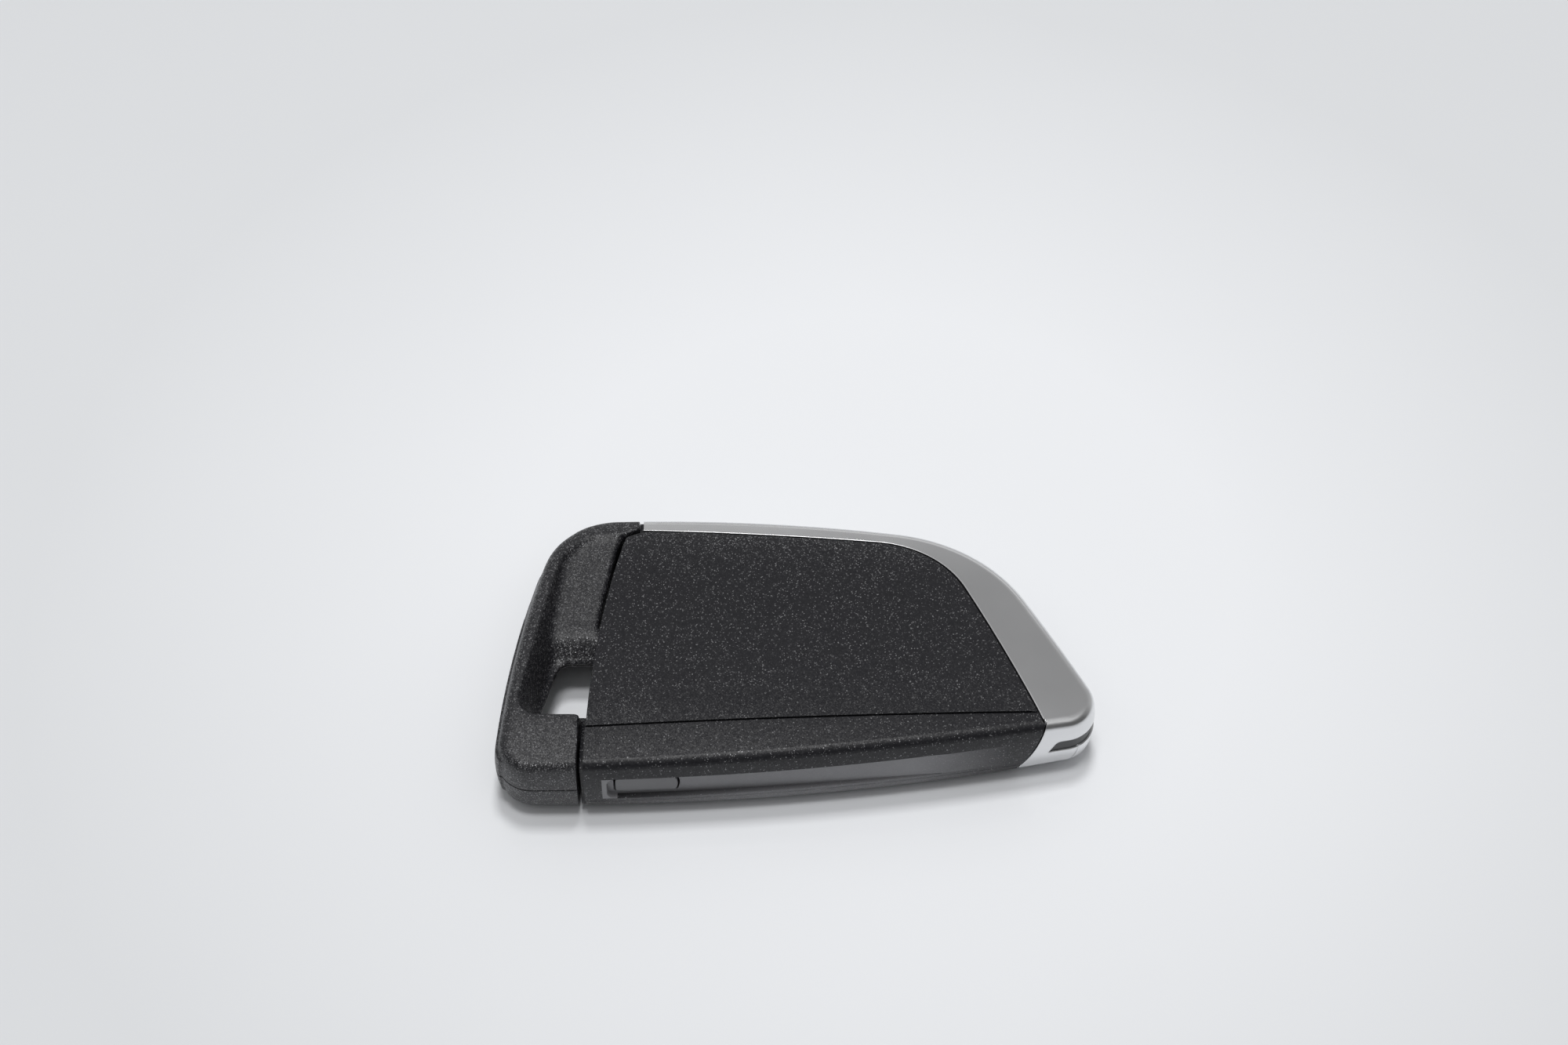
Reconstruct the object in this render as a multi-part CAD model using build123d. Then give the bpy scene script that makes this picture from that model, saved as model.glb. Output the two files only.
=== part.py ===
from build123d import *
import math
import os

# Car key fob with a slide-out emergency key, lying on its button face with the battery cover up.
# +X points to the metal tip, +Y to the long metal edge, +Z out of the battery cover.
# All lengths are in millimetres, and names that end in share or shares are parts of another size.

# Whole fob
fob_length = 86.8
fob_width = 45.8
fob_height = 14.5
cover_stand = 0.25
rest_flat_depth = 0.35
overrun = 30.0

# Plan outline at mid height: corners, one point along each side, and corner radii
outline_corner_shares = {
    "near_left": (-0.5023, -0.5022), "tip": (0.5276, -0.3035),
    "shoulder": (0.3214, 0.3985), "far_left": (-0.4124, 0.4902),
}
outline_side_shares = {
    "near": (0.0000, -0.4607), "right": (0.4493, -0.0218),
    "far": (-0.0501, 0.4880), "left": (-0.4758, 0.0044),
}
near_left_radius = 5.2
tip_radius = 5.0
shoulder_radius = 26.0
far_left_radius = 12.0

# Side wall and crowned faces
wall_lean = 1.9
wall_height_shares = (0, 0.375, 0.7, 1.09)
wall_lean_shares = (0, 0.08, 0.33, 1)
ridge_radius = 1.6
crown_long_radius = 900.0
crown_flat_radius = 250.0
crown_edge_radius = 70.0
crown_flat_half = 9.0
crown_centre_share = -0.172

# Split between the head of the emergency key and the body
split_shares = (
    (-0.3525, -0.6594), (-0.3329, 0.0306), (-0.2967, 0.3952), (-0.2638, 0.4236), (-0.2604, 0.6659),
)
split_corner_radius = 1.0
head_gap = 0.95

# Metal trim: plan line of its inner edge on the back and on the front, and its seam on the near wall
trim_far_shares = ((-0.2661, 0.4323), (-0.0576, 0.4116), (0.2419, 0.3657))
trim_right_share = (0.3410, -0.0218)
trim_back_end_share = (0.4101, -0.3188)
trim_front_end_share = (0.3710, -0.3166)
trim_left_share = (-0.2696, 0.6659)
trim_inner_radius = 16.0
trim_seam_shares = ((0.4153, 0.938), (0.4039, 0.621), (0.3721, 0.200))
trim_wall = 1.2
trim_fit = 0.05
seam_gap = 0.25

# Slot in the trim, and the dark strip in it
slot_height = 2.3
slot_lift = 0.2
slot_start_share = 0.4194
slot_end_share = 0.10
slot_end_radius = 1.0
slot_end_slant = 1.2
strip_recess = 0.25
strip_depth = 1.15

# Shells
shell_wall = 1.5
floor_wall = 1.4
shell_gap = 0.05
blade_rib = 1.0
near_wall = 1.2
latch_rib = 0.6
end_wall = 4.1
ledge_width = 2.0
ledge_height = 1.5

# Battery cover
cover_wall = 1.3
cover_gap = 0.25
cover_border = 0.75
cover_border_drop = 0.15
cover_near_shares = ((-0.3998, -0.3603), (0.4401, -0.2838))
cover_lug_size = (5.0, 1.2, 0.9)
cover_lug_x_shares = (-0.22, 0.12)

# Coin cell and its contacts
cell_far_rib = 1.65
cell_near_rib = 0.15
cell_end_rib = 1.55
cell_step = 0.6
cell_bevel = 0.35
cell_gap = 0.2
cell_cover_gap = 1.2
cell_contact_rise = 0.8
contact_sheet = 0.25
contact_gap = 0.1
contact_width = 5.0
contact_foot = 1.2

# Buttons under the front face, the silicone mat behind them, and their switches
button_first_share = -0.1429
button_pitch_share = 0.1475
button_far_share = 0.2424
button_side_wall = 1.6
button_bridge = 2.4
button_corner_radius = 2.4
button_edge_radius = 0.35
button_gap = 0.3
button_recess = 0.35
button_flange = 0.8
button_flange_gap = 0.2
button_flange_thickness = 0.5
button_travel = 0.4
button_count = 3
mat_clearance = 0.15
mat_thickness = 0.7
mat_post_diameter = 3.0
mat_post_height = 0.15
switch_gap = 0.1
face_switch_size = (4.6, 4.6, 1.2)
switch_plunger_diameter = 2.0
switch_plunger_height = 0.4

# Circuit board and what it carries: plan shares are of the room left beside the coin cell
board_thickness = 1.0
board_gap = 0.4
board_room_end_share = 0.311
controller_place_shares = (0.187, 0.56)
controller_size_shares = (0.319, 0.245)
controller_height = 1.0
radio_place_shares = (0.506, 0.56)
radio_size_shares = (0.228, 0.174)
radio_height = 0.9
crystal_place_shares = (0.11, 0.257)
crystal_size_shares = (0.146, 0.094)
crystal_height = 0.8
antenna_place_shares = (0.465, 0.257)
antenna_size_shares = (0.474, 0.287)
antenna_height = 3.2
antenna_flange = 1.2
antenna_winding_inset = 0.6
capacitor_place_shares = (0.06, 0.062)
capacitor_size_shares = (0.073, 0.03)
capacitor_height = 0.8
capacitor_pitch_share = 0.109
capacitor_count = 7
lead_pitch = 0.8
lead_size = (0.4, 0.35, 0.2)
side_switch_size = (4.6, 3.0, 2.0)
side_switch_plunger = (2.0, 0.7, 1.2)

# Side button in the slot of the trim
side_button_share = 0.138
side_button_length = 10.0
side_button_height = 2.6
side_button_gap = 0.25
side_button_stand = 0.15
side_button_travel = 0.4
side_button_flange = 0.8
side_button_flange_thickness = 0.5

# Channel along the near wall, and the release button in it
release_share = -0.2523
release_length = 8.6
release_height = 2.9
release_radius = 0.5
release_bulge = 0.35
release_gap = 0.3
release_stand = 0.25
release_travel = 1.0
release_rest = 0.4
release_flange = 0.7
release_flange_thickness = 0.9
channel_lead = 1.2
channel_right_share = 0.2765
channel_height = 4.9
channel_depth = 1.0
channel_depth_shares = (1, 0.85)
channel_end_radius = 1.4
latch_sheet = 0.8
latch_height = 2.4
latch_reach = 6.8
latch_hook_reach = 0.6
latch_length = 8.6
spring_diameter = 2.6
spring_wire = 0.35
spring_turns = 3.5
spring_offset = 3.3
spring_play = 0.05

# Emergency key blade and its pin
blade_width = 7.0
blade_thickness = 2.3
blade_reach = 43.9
blade_tip_length = 3.0
blade_tip_width = 3.5
blade_gap = 0.2
blade_end_gap = 0.5
blade_groove_width = 1.6
blade_groove_depth = 0.6
blade_groove_swing = 1.3
blade_groove_run = 9.0
blade_groove_bend = 3.0
blade_fit = 0.05
tang_width = 2.6
tang_length = 8.7
pin_diameter = 1.6
pin_offset = 3.4
pin_length = 5.8
pin_fit = 0.03

# Head: rail, dish, key-ring hole and the bar that closes it inside the body
band_stand = 0.35
band_height = 7.4
band_near_share = -0.4476
band_far_share = 0.2860
web_thickness = 1.0
rail_far_shares = ((-0.2604, 0.4279), (-0.4009, 0.4279))
rail_near_x_shares = (-0.4758, -0.2604)
rail_near_inset = 0.8
rail_far_radius = 8.0
rail_near_radius = 3.0
dish_wall_lean = 2.6
ramp_far_share = 0.4170
ramp_near_share = 0.0415
ramp_far_drop = 1.85
ramp_near_rise = 2.95
ramp_roll_radius = 2.6
ramp_foot_radius = 1.5
ramp_foot_stand = 0.2
dish_sink = 0.5
dish_fillet_radius = 0.8
hole_left_shares = (-0.4355, -0.4055)
hole_far_share = -0.0197
hole_wall = 1.9
hole_near_radius = 0.9
hole_far_radius = 2.4
hole_bar_radius = 0.6
bar_left_share = -0.3376
bar_width = 2.4
bar_height = 5.7
bar_wall = 1.0
bar_end = 4.4
bar_gap = 0.3
bar_bite = 0.1
neck_length = 2.6

# Heights worked out from the sizes above
skin_top = fob_height - cover_stand
mid_z = (skin_top - rest_flat_depth) / 2
half_height = skin_top - mid_z
cover_under = fob_height - cover_wall
button_flange_base = floor_wall + button_flange_gap
button_flange_top = button_flange_base + button_flange_thickness
mat_base = button_flange_top + button_travel + mat_clearance
mat_top = mat_base + mat_thickness
switch_tip_z = mat_top + mat_post_height + switch_gap
board_base = switch_tip_z + switch_plunger_height + face_switch_size[2]
board_top = board_base + board_thickness
part_line_height = board_base - ledge_height
cell_base = board_top + cell_contact_rise
cell_height = cover_under - cell_cover_gap - cell_base

# Places across the fob, from the near wall to the far wall
core_inset = trim_wall + trim_fit
bay_inset = core_inset + shell_wall
near_line_y = outline_side_shares["near"][1] * fob_width
release_wall_y = near_line_y + near_wall
release_flange_y = release_wall_y + release_gap
release_latch_y = release_flange_y + release_flange_thickness
release_pocket_end_y = release_latch_y + latch_sheet + latch_hook_reach + release_travel + release_rest
blade_near_y = release_pocket_end_y + latch_rib + blade_gap
blade_y = blade_near_y + blade_width / 2
blade_far_y = blade_near_y + blade_width
hole_near_y = blade_near_y + tang_width + hole_wall
hole_far_y = hole_far_share * fob_width
bar_near_y = blade_near_y - bar_wall
bar_far_y = hole_far_y + bar_end
bay_near_y = blade_far_y + blade_gap + blade_rib
bay_far_y = outline_side_shares["far"][1] * fob_width - bay_inset
cell_near_y = bay_near_y + cell_gap + cell_near_rib
cell_diameter = bay_far_y - cell_far_rib - cell_near_y
cell_y = cell_near_y + cell_diameter / 2
button_near_y = bay_near_y + button_side_wall
button_width = button_far_share * fob_width - button_near_y
button_y = button_near_y + button_width / 2

# Places along the fob
crown_x = crown_centre_share * fob_length
bar_left_x = bar_left_share * fob_length
bar_right_x = bar_left_x + bar_width
blade_tip_x = bar_right_x + blade_reach
tang_end_x = bar_left_x - tang_length
pin_x = tang_end_x + pin_offset
bay_left_x = bar_right_x + bar_gap + end_wall
front_bay_left_x = bay_left_x + ledge_width
cell_x = bay_left_x + cell_gap + cell_end_rib + cell_diameter / 2
contact_start_x = cell_x + cell_diameter / 2 + contact_gap
board_room_x = contact_start_x + contact_foot
board_room_length = board_room_end_share * fob_length - board_room_x
board_room_width = bay_far_y - bay_near_y
button_pitch = button_pitch_share * fob_length
button_length = button_pitch - button_bridge
button_x = [button_first_share * fob_length + index * button_pitch for index in range(button_count)]
side_button_x = side_button_share * fob_length
release_x = release_share * fob_length
latch_left_x = release_x - latch_reach
spring_x = release_x + spring_offset
channel_left_x = release_x - release_length / 2 - channel_lead
channel_right_x = channel_right_share * fob_length


def place(share):
    return (share[0] * fob_length, share[1] * fob_width)


def arc_through(start, middle, end):
    return ThreePointArc(place(start), place(middle), place(end))


def prism(face, low, high):
    return extrude(Pos(0, 0, low) * face, high - low)


def box(x_range, y_range, z_range):
    size = [end - start for start, end in (x_range, y_range, z_range)]
    return Pos(x_range[0], y_range[0], z_range[0]) * Box(*size, align=(Align.MIN, Align.MIN, Align.MIN))


def block(size, centre, base):
    return Pos(centre[0], centre[1], base) * Box(*size, align=(Align.CENTER, Align.CENTER, Align.MIN))


def upright(diameter, centre, base, height):
    align = (Align.CENTER, Align.CENTER, Align.MIN)
    return Pos(centre[0], centre[1], base) * Cylinder(diameter / 2, height, align=align)


def round_corner(face, corner, radius):
    return fillet(face.vertices().sort_by_distance((corner[0], corner[1], 0))[0], radius)


def grown(face, distance):
    wire = offset(face, distance).face().outer_wire()
    edges = []
    for edge in wire.edges():
        start, middle, end = edge @ 0, edge @ 0.5, edge @ 1
        straight = edge.geom_type == GeomType.LINE
        edges.append(Line(start, end) if straight else ThreePointArc(start, middle, end))
    return make_face(Curve() + edges).face()


def rounded_plate(length, width, radius):
    return RectangleRounded(length, width, radius).face()


def flip(solid):
    return mirror(solid, Plane.XY.offset(mid_z))


# Outer form of the closed fob: a plan outline whose walls lean in to two crowned faces


def outline_face(inset):
    corners = outline_corner_shares
    sides = outline_side_shares
    names = ["near_left", "tip", "shoulder", "far_left"]
    radii = [near_left_radius, tip_radius, shoulder_radius, far_left_radius]
    arcs = [
        arc_through(corners[names[i - 1]], sides[side], corners[names[i]])
        for i, side in ((1, "near"), (2, "right"), (3, "far"), (0, "left"))
    ]
    face = make_face(Curve() + arcs)
    for name, radius in zip(names, radii):
        face = round_corner(face, place(corners[name]), radius)
    return grown(face, -inset) if inset else face.face()


def crown_block(apex):
    side_angle = math.asin(crown_flat_half / crown_flat_radius)
    centre_drop = crown_flat_radius * (1 - math.cos(side_angle))
    side_centre_y = (crown_flat_radius - crown_edge_radius) * math.sin(side_angle)
    side_centre_z = apex - crown_flat_radius + (crown_flat_radius - crown_edge_radius) * math.cos(side_angle)
    reach_angle = math.asin((fob_width - side_centre_y) / crown_edge_radius)
    half_angle = (side_angle + reach_angle) / 2

    def side_point(angle, sign):
        y = side_centre_y + crown_edge_radius * math.sin(angle)
        return (sign * y, side_centre_z + crown_edge_radius * math.cos(angle))

    shoulder = (crown_flat_half, apex - centre_drop)
    edge = side_point(reach_angle, 1)
    base = apex - 2 * fob_height
    profile = Curve() + [
        ThreePointArc((-shoulder[0], shoulder[1]), (0, apex), shoulder),
        ThreePointArc(shoulder, side_point(half_angle, 1), edge),
        Polyline(edge, (edge[0], base), (-edge[0], base), (-edge[0], edge[1])),
        ThreePointArc((-edge[0], edge[1]), side_point(half_angle, -1), (-shoulder[0], shoulder[1])),
    ]
    across = Plane((crown_x, 0, 0), x_dir=(0, 1, 0), z_dir=(1, 0, 0))
    axis = Axis((crown_x, 0, apex - crown_long_radius), (0, 1, 0))
    sweep = math.degrees(fob_length / crown_long_radius)
    return revolve(across * make_face(profile), axis, 2 * sweep).rotate(axis, -sweep)


def half_form(inset, apex):
    outline = outline_face(inset)
    levels = []
    for height_share, lean_share in zip(wall_height_shares, wall_lean_shares):
        lean = lean_share * wall_lean
        section = grown(outline, -lean) if lean else outline
        levels.append(Pos(0, 0, mid_z + height_share * half_height) * section)
    return loft(levels) & crown_block(apex)


def fob_form(inset, rounded=False):
    upper = half_form(inset, skin_top - inset)
    if rounded:
        high = [edge for edge in upper.edges() if edge.center().Z > mid_z + half_height / 2]
        rim = [edge for edge in high if abs(edge.tangent_at(0).Z) < wall_lean / fob_height]
        upper = fillet(rim, ridge_radius)
    lower = flip(upper) & box((-fob_length, fob_length), (-fob_width, fob_width), (inset, mid_z))
    return upper + lower


# Plan regions of the head, the body, the trim and the battery cover


def body_region():
    near, middle, corner, finger, far = split_shares
    right = fob_length
    outer = Polyline(place(far), (right, place(far)[1]), (right, place(near)[1]), place(near))
    face = make_face(Curve() + [
        arc_through(near, middle, corner), Line(place(corner), place(finger)),
        Line(place(finger), place(far)), outer,
    ])
    face = round_corner(face, place(corner), split_corner_radius)
    return round_corner(face, place(finger), split_corner_radius).face()


def trim_inner_line(end_share):
    left, along, shoulder = trim_far_shares
    middle = (trim_right_share[0] + (end_share[0] - trim_back_end_share[0]) / 2, trim_right_share[1])
    return [arc_through(left, along, shoulder), arc_through(shoulder, middle, end_share)]


def trim_region(end_share):
    left, end = place(trim_far_shares[0]), place(end_share)
    far = place(trim_left_share)
    outer = Polyline(end, (fob_length, end[1]), (fob_length, far[1]), far, left)
    face = make_face(Curve() + trim_inner_line(end_share) + [outer])
    return round_corner(face, place(trim_far_shares[2]), trim_inner_radius).face()


def trim_zone(grow):
    back = trim_region(trim_back_end_share)
    front = trim_region(trim_front_end_share)
    if grow:
        back = grown(back, grow)
        front = grown(front, grow)
    top, middle, low = [(x * fob_length - grow, z * fob_height) for x, z in trim_seam_shares]
    seam = Curve() + [
        ThreePointArc(top, middle, low), Polyline(
            low, (low[0], -overrun), (fob_length, -overrun), (fob_length, overrun), (top[0], overrun), top),
    ]
    near_y = place(trim_back_end_share)[1]
    across = Plane((0, near_y, 0), x_dir=(1, 0, 0), z_dir=(0, -1, 0))
    near_end = extrude(across * make_face(seam), fob_width)
    return prism(back, mid_z, overrun) + prism(front, -overrun, mid_z) + near_end


def cover_region(gap):
    near_left, near_right = [place(share) for share in cover_near_shares]
    far_y = place(split_shares[-1])[1]
    beyond = Polyline(
        near_left, near_right, (fob_length, near_right[1]), (fob_length, far_y), (near_left[0], far_y),
        near_left)
    inside = make_face(beyond) & body_region()
    inside = inside - grown(trim_region(trim_back_end_share), seam_gap)
    face = inside.faces().sort_by(SortBy.AREA)[-1]
    return grown(face, -gap) if gap else face


# Metal trim and the strip in its slot


def slot_end(grow):
    high = mid_z + slot_lift + slot_height / 2 + grow
    low = high - slot_height - 2 * grow
    start = slot_start_share * fob_length - grow
    top_start = start + slot_end_slant
    face = make_face(Polyline(
        (start, low), (top_start, high), (fob_length, high), (fob_length, low), (start, low)))
    face = round_corner(face, (top_start, high), slot_end_radius)
    across = Plane((0, 0, 0), x_dir=(1, 0, 0), z_dir=(0, -1, 0))
    return extrude(across * face.face(), fob_width)


def slot_block(grow, inner):
    ring = prism(outline_face(-trim_wall) - outline_face(inner), 0, fob_height)
    low = mid_z + slot_lift - slot_height / 2 - grow
    end = slot_end_share * fob_length
    far_part = box((end, fob_length), (0, fob_width), (low, low + slot_height + 2 * grow))
    return ring & (far_part + slot_end(grow))


def metal_trim(skin, inner_skin, zone):
    frame = (skin - inner_skin) & zone
    return frame - slot_block(0, bay_inset) - side_button_hole(side_button_gap)


def trim_insert():
    strip = slot_block(-trim_fit, strip_depth) & fob_form(strip_recess)
    return strip - side_button_hole(side_button_gap)


# Body shells and battery cover


def body_core(skin, inner_skin, zone):
    block_of_body = skin & prism(body_region(), -overrun, overrun)
    return block_of_body - (zone - inner_skin)


def cover_recess():
    floor = crown_block(cover_under)
    return prism(cover_region(0), mid_z, overrun) - floor


def bay_block(bay_skin):
    return bay_skin & box((bay_left_x, fob_length), (bay_near_y, fob_width), (0, fob_height))


def front_bay():
    plan = outline_face(bay_inset + wall_lean)
    corner = box((front_bay_left_x, fob_length), (bay_near_y, fob_width), (floor_wall, part_line_height))
    return prism(plan, floor_wall, part_line_height) & corner


def bar_pocket():
    left = bar_left_x - neck_length
    half = bar_height / 2 + bar_gap
    return box(
        (left, bar_right_x + bar_gap), (bar_near_y - bar_gap, bar_far_y + bar_gap),
        (mid_z - half, mid_z + half))


def blade_tunnel():
    half_width = blade_width / 2 + blade_gap
    half_thick = blade_thickness / 2 + blade_gap
    return box(
        (bar_left_x, blade_tip_x + blade_end_gap), (blade_y - half_width, blade_y + half_width),
        (mid_z - half_thick, mid_z + half_thick))


def near_side_profile(left, right, height, radius):
    face = Pos((left + right) / 2, mid_z) * Rectangle(right - left, height)
    for side in (-1, 1):
        face = round_corner(face, (left, mid_z + side * height / 2), radius)
    return face.face()


def through_near_wall(profile, inner_y):
    across = Plane((0, inner_y, 0), x_dir=(1, 0, 0), z_dir=(0, -1, 0))
    return extrude(across * profile, fob_width)


def near_wall_y(x):
    wall = arc_through(
        outline_corner_shares["near_left"], outline_side_shares["near"], outline_corner_shares["tip"])
    return wall.intersect(Axis((x, 0, 0), (0, 1, 0)))[0].Y


def channel_floor():
    middle_x = (channel_left_x + channel_right_x) / 2
    left_depth, middle_depth = [share * channel_depth for share in channel_depth_shares]
    left_y = near_wall_y(channel_left_x) + left_depth
    middle_y = near_wall_y(middle_x) + middle_depth
    right_y = near_wall_y(channel_right_x)
    return (channel_left_x, left_y), (middle_x, middle_y), (channel_right_x, right_y)


def side_channel():
    left, middle, right = channel_floor()
    plan = make_face(Curve() + [
        ThreePointArc(left, middle, right),
        Polyline(right, (right[0], -fob_width), (left[0], -fob_width), left),
    ])
    strip = near_side_profile(channel_left_x, fob_length, channel_height, channel_end_radius)
    return through_near_wall(strip, right[1] + channel_depth) & prism(plan, 0, fob_height)


def release_profile(grow):
    length = release_length + 2 * grow
    height = release_height + 2 * grow
    left, right = release_x - length / 2, release_x + length / 2
    low, high = mid_z - height / 2, mid_z + height / 2
    face = make_face(Curve() + [
        Polyline((right, high), (left, high), (left, low), (right, low)),
        ThreePointArc((right, low), (right + release_bulge, mid_z), (right, high)),
    ])
    for z in (low, high):
        face = round_corner(face, (left, z), release_radius)
    return face.face()


def release_pocket():
    half = release_height / 2 + release_flange + release_gap
    right = release_x + release_length / 2 + release_flange + release_gap
    inner = box(
        (latch_left_x - release_gap, right), (release_wall_y, release_pocket_end_y),
        (mid_z - half, mid_z + half))
    return inner + through_near_wall(release_profile(release_gap), release_wall_y)


def cell_well(grow):
    return upright(cell_diameter + 2 * grow, (cell_x, cell_y), cell_base - grow, fob_height)


def cover_lugs(grow):
    length, width, height = cover_lug_size
    near_y = place(cover_near_shares[1])[1] + width * 2
    size = (length + 2 * grow, width + 2 * grow, 2 * height + grow)
    solids = [
        block(size, (share * fob_length, near_y), cover_under - size[2])
        for share in cover_lug_x_shares
    ]
    return solids[0] + solids[1]


def back_shell(core, bay):
    shell = core & box((-fob_length, fob_length), (-fob_width, fob_width), (part_line_height, fob_height))
    shell = shell - cover_recess() - bay - cell_well(cell_gap) - cover_lugs(cover_gap)
    shell = shell - bar_pocket() - blade_tunnel() - side_channel() - release_pocket()
    return shell - side_button_pocket()


def front_shell(core):
    top = part_line_height - shell_gap
    shell = core & box((-fob_length, fob_length), (-fob_width, fob_width), (-overrun, top))
    shell = shell - front_bay() - bar_pocket()
    for x in button_x:
        opening = rounded_plate(button_length, button_width, button_corner_radius)
        shell = shell - prism(Pos(x, button_y) * opening, -overrun, part_line_height)
    return shell


def cover_border_cut():
    beside_trim = grown(trim_region(trim_back_end_share), seam_gap + cover_border)
    return prism(beside_trim, mid_z, overrun) - crown_block(fob_height - cover_border_drop)


def battery_cover():
    region = cover_region(0)
    body = prism(grown(region, -cover_gap / 2), mid_z, overrun)
    plate = (body & crown_block(fob_height)) - crown_block(cover_under) - cover_border_cut()
    return plate + (cover_lugs(0) - crown_block(cover_under - cover_lug_size[2]) + (plate & cover_lugs(0)))


# Buttons, mat and switches


def face_button(x):
    length, width = button_length - 2 * button_gap, button_width - 2 * button_gap
    cap = prism(
        Pos(x, button_y) * rounded_plate(length, width, button_corner_radius - button_gap),
        button_recess, button_flange_top)
    cap = fillet(cap.edges().group_by(Axis.Z)[0], button_edge_radius)
    flange = prism(
        Pos(x, button_y) * rounded_plate(
            length + 2 * button_flange, width + 2 * button_flange, button_corner_radius),
        button_flange_base, button_flange_top)
    return cap + flange


def keypad_mat():
    plan = outline_face(bay_inset + wall_lean + board_gap)
    left = front_bay_left_x + board_gap
    near = bay_near_y + board_gap
    mat = prism(plan, mat_base, mat_top)
    mat = mat & box((left, fob_length), (near, fob_width), (0, fob_height))
    for x in button_x:
        mat = mat + upright(mat_post_diameter, (x, button_y), mat_top, mat_post_height)
    return mat


def face_switches():
    base = board_base - face_switch_size[2]
    solids = []
    for x in button_x:
        case = block(face_switch_size, (x, button_y), base)
        plunger = upright(
            switch_plunger_diameter, (x, button_y), base - switch_plunger_height, switch_plunger_height)
        solids.append(case + plunger)
    return Compound(children=solids)


def far_wall_y(x):
    wall = arc_through(
        outline_corner_shares["shoulder"], outline_side_shares["far"], outline_corner_shares["far_left"])
    return wall.intersect(Axis((x, 0, 0), (0, 1, 0)))[0].Y


def side_profile(length, height):
    across = Plane((side_button_x, 0, mid_z + slot_lift), x_dir=(1, 0, 0), z_dir=(0, 1, 0))
    return across * rounded_plate(length, height, height / 2 - trim_fit)


def side_button_hole(grow):
    return extrude(
        side_profile(side_button_length + 2 * grow, side_button_height + 2 * grow), fob_width)


def side_flange_span():
    outer = far_wall_y(side_button_x) - bay_inset - side_button_gap
    return outer - side_button_flange_thickness, outer


def side_button_pocket():
    inner, outer = side_flange_span()
    reach = side_button_flange + side_button_gap
    pocket = extrude(side_profile(side_button_length + 2 * reach, side_button_height + 2 * reach), fob_width)
    travel_end = inner - side_button_travel - side_button_gap
    pocket = pocket & box((-fob_length, fob_length), (travel_end, outer + side_button_gap), (0, fob_height))
    return pocket + side_button_hole(side_button_gap)


def side_button():
    inner, outer = side_flange_span()
    stem = extrude(side_profile(side_button_length, side_button_height), fob_width)
    stem = stem & fob_form(-side_button_stand)
    stem = stem - box((-fob_length, fob_length), (-fob_width, inner), (0, fob_height))
    flange = extrude(side_profile(
        side_button_length + 2 * side_button_flange, side_button_height + 2 * side_button_flange), fob_width)
    flange = flange & box((-fob_length, fob_length), (inner, outer), (0, fob_height))
    return stem + flange


def side_switch():
    inner, _ = side_flange_span()
    length, depth, height = side_switch_size
    plunger_length, plunger_depth, plunger_height = side_switch_plunger
    tip_y = inner - side_button_travel - side_button_gap
    case_y = tip_y - plunger_depth
    case = box(
        (side_button_x - length / 2, side_button_x + length / 2), (case_y - depth, case_y),
        (board_top, board_top + height))
    plunger_base = board_top + (height - plunger_height) / 2
    plunger = box(
        (side_button_x - plunger_length / 2, side_button_x + plunger_length / 2), (case_y, tip_y),
        (plunger_base, plunger_base + plunger_height))
    return case + plunger


# Circuit board and its parts


def circuit_board():
    plan = outline_face(bay_inset + wall_lean + board_gap)
    board = prism(plan, board_base, board_top)
    return board & box(
        (bay_left_x + board_gap, fob_length), (bay_near_y + board_gap, fob_width), (0, fob_height))


def on_board(shares):
    return (board_room_x + shares[0] * board_room_length, bay_near_y + shares[1] * board_room_width)


def board_size(shares, height):
    return (shares[0] * board_room_length, shares[1] * board_room_width, height)


def leaded_chip(size_shares, height, place_shares):
    size, centre = board_size(size_shares, height), on_board(place_shares)
    solid = block(size, centre, board_top)
    count = int(size[0] / lead_pitch) - 1
    for index in range(count):
        along = (index - (count - 1) / 2) * lead_pitch
        for side in (-1, 1):
            across = side * (size[1] + lead_size[1]) / 2
            solid = solid + block(lead_size, (centre[0] + along, centre[1] + across), board_top)
    return solid


def crystal_can():
    size = board_size(crystal_size_shares, crystal_height)
    can = block(size, on_board(crystal_place_shares), board_top)
    return fillet(can.edges().filter_by(Axis.Z), min(size) / 2)


def antenna_coil():
    length, width, height = board_size(antenna_size_shares, antenna_height)
    centre = on_board(antenna_place_shares)
    core = block((length, width, height), centre, board_top)
    waist = block(
        (length - 2 * antenna_flange, width + antenna_flange, height + antenna_flange),
        centre, board_top - antenna_flange / 2)
    inner = block(
        (length, width - 2 * antenna_winding_inset, height - 2 * antenna_winding_inset),
        centre, board_top + antenna_winding_inset)
    return core - (waist - inner)


def chip_capacitors():
    size = board_size(capacitor_size_shares, capacitor_height)
    x, y = on_board(capacitor_place_shares)
    pitch = capacitor_pitch_share * board_room_length
    return Compound(children=[
        block(size, (x + index * pitch, y), board_top) for index in range(capacitor_count)
    ])


# Coin cell and contacts


def coin_cell():
    lower = upright(cell_diameter - 2 * cell_step, (cell_x, cell_y), cell_base, cell_step)
    can = upright(cell_diameter, (cell_x, cell_y), cell_base + cell_step, cell_height - cell_step)
    can = fillet(can.edges().filter_by(GeomType.CIRCLE), cell_bevel)
    return can + lower


def negative_contact():
    foot = block((contact_width, cell_diameter / 2, contact_sheet), (cell_x, cell_y), board_top)
    rise = cell_base - contact_gap - board_top
    finger = block((contact_width / 2, contact_width, rise), (cell_x, cell_y), board_top)
    return foot + finger


def positive_contact():
    start = contact_start_x
    span = (cell_y - contact_width / 2, cell_y + contact_width / 2)
    wall = box((start, start + contact_sheet), span, (board_top, cell_base + cell_height / 2))
    foot = box((start, start + contact_foot), span, (board_top, board_top + contact_sheet))
    return wall + foot


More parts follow.
